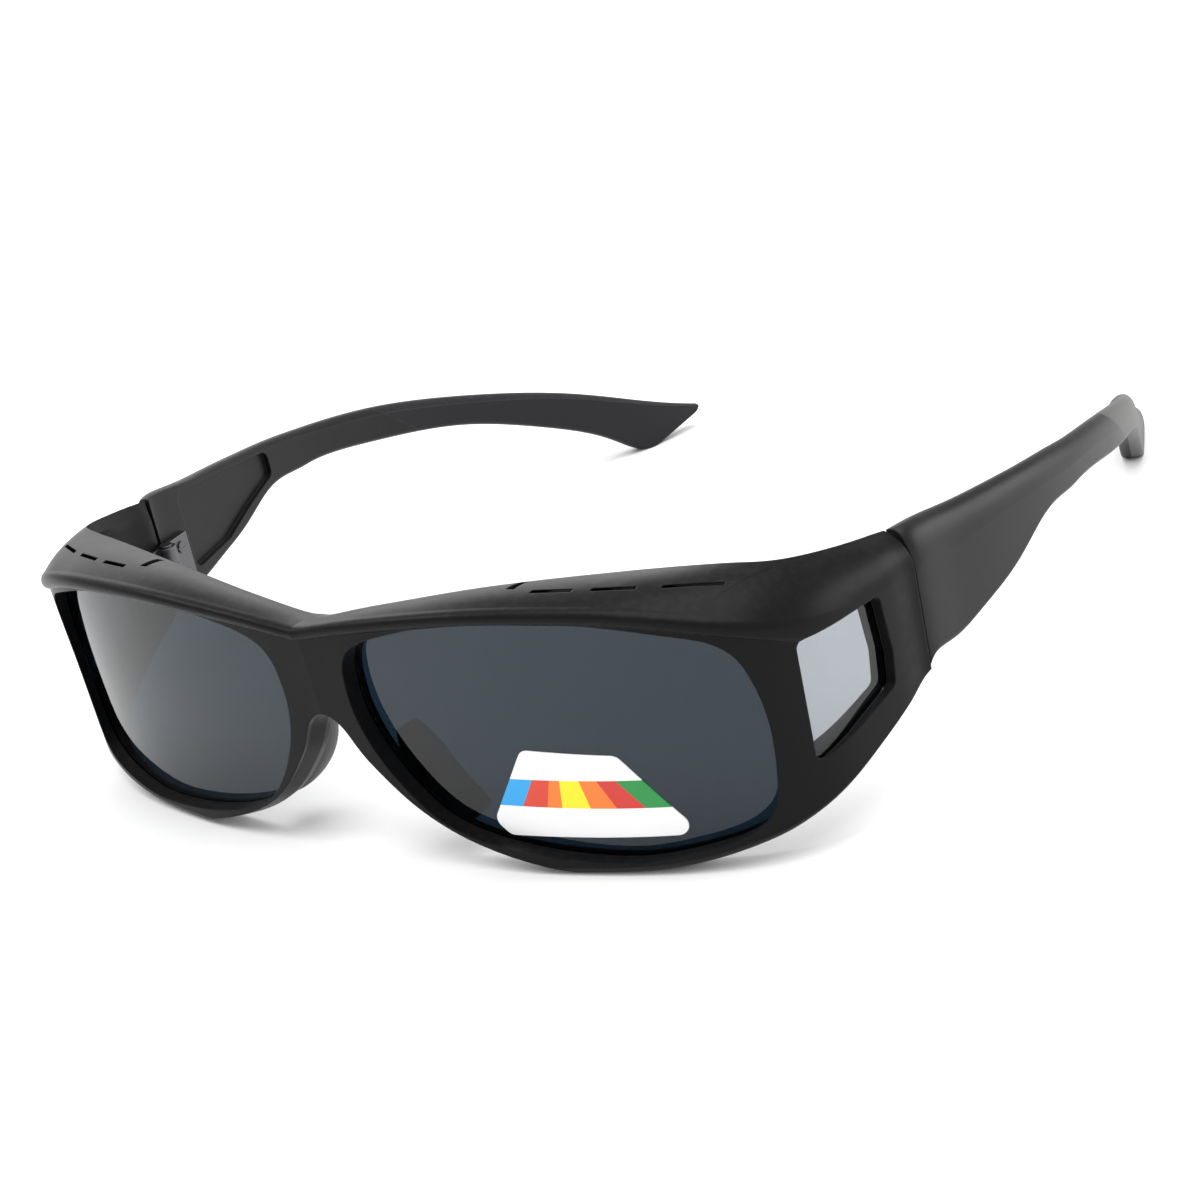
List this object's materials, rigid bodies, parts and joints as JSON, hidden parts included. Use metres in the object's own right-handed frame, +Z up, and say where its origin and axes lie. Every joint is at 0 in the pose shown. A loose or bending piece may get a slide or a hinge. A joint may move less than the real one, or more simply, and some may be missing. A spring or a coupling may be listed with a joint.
{
  "type": "fitover sunglasses",
  "caption": "Fit-over sunglasses with smoke lenses set back in a vented wraparound front, side windows, and wide temples that fold inwards on barrel hinges.",
  "frame": {"origin": "middle of the open sunglasses in plan, on the surface that the rims and the temple tips rest on", "axes": "+X towards the wearer's left, +Y from the lenses to the temple tips, +Z up"},
  "size_m": [0.1526, 0.1694, 0.041],
  "materials": {
    "frame_black": "satin, near black",
    "temple_black": "satin, near black",
    "pad_black": "matt black",
    "sleeve_grey": "matt mid grey",
    "lens_grey": "polished, smoke grey",
    "side_lens_grey": "polished, pale grey",
    "label_film": "smooth printed film",
    "leaf_steel": "blackened, satin",
    "pin_steel": "blackened, satin",
    "screw_steel": "blackened, satin"
  },
  "bodies": {
    "front": {"front_frame": "frame_black", "lens_label": "label_film", "lens_left": "lens_grey", "lens_right": "lens_grey", "side_lens_left": "side_lens_grey", "side_lens_right": "side_lens_grey", "nose_pad_left": "pad_black", "nose_pad_right": "pad_black", "hinge_front_leaf_left": "leaf_steel", "hinge_front_leaf_right": "leaf_steel", "hinge_pin_left": "pin_steel", "hinge_pin_right": "pin_steel", "front_leaf_screw_low_left": "screw_steel", "front_leaf_screw_low_right": "screw_steel", "front_leaf_screw_high_left": "screw_steel", "front_leaf_screw_high_right": "screw_steel"},
    "temple_arm_left": {"temple_left": "temple_black", "temple_tip_left": "sleeve_grey", "hinge_temple_leaf_left": "leaf_steel", "temple_leaf_screw_low_left": "screw_steel", "temple_leaf_screw_high_left": "screw_steel"},
    "temple_arm_right": {"temple_right": "temple_black", "temple_tip_right": "sleeve_grey", "hinge_temple_leaf_right": "leaf_steel", "temple_leaf_screw_low_right": "screw_steel", "temple_leaf_screw_high_right": "screw_steel"}
  },
  "joints": [
    {"name": "temple_left_fold", "type": "hinge", "parent": "front", "child": "temple_arm_left", "pos_m": [0.06718, -0.04265, 0.023], "axis": [0, 0, 1], "range_deg": [0, 90]},
    {"name": "temple_right_fold", "type": "hinge", "parent": "front", "child": "temple_arm_right", "pos_m": [-0.06718, -0.04265, 0.023], "axis": [0, 0, -1], "range_deg": [0, 80]}
  ]
}
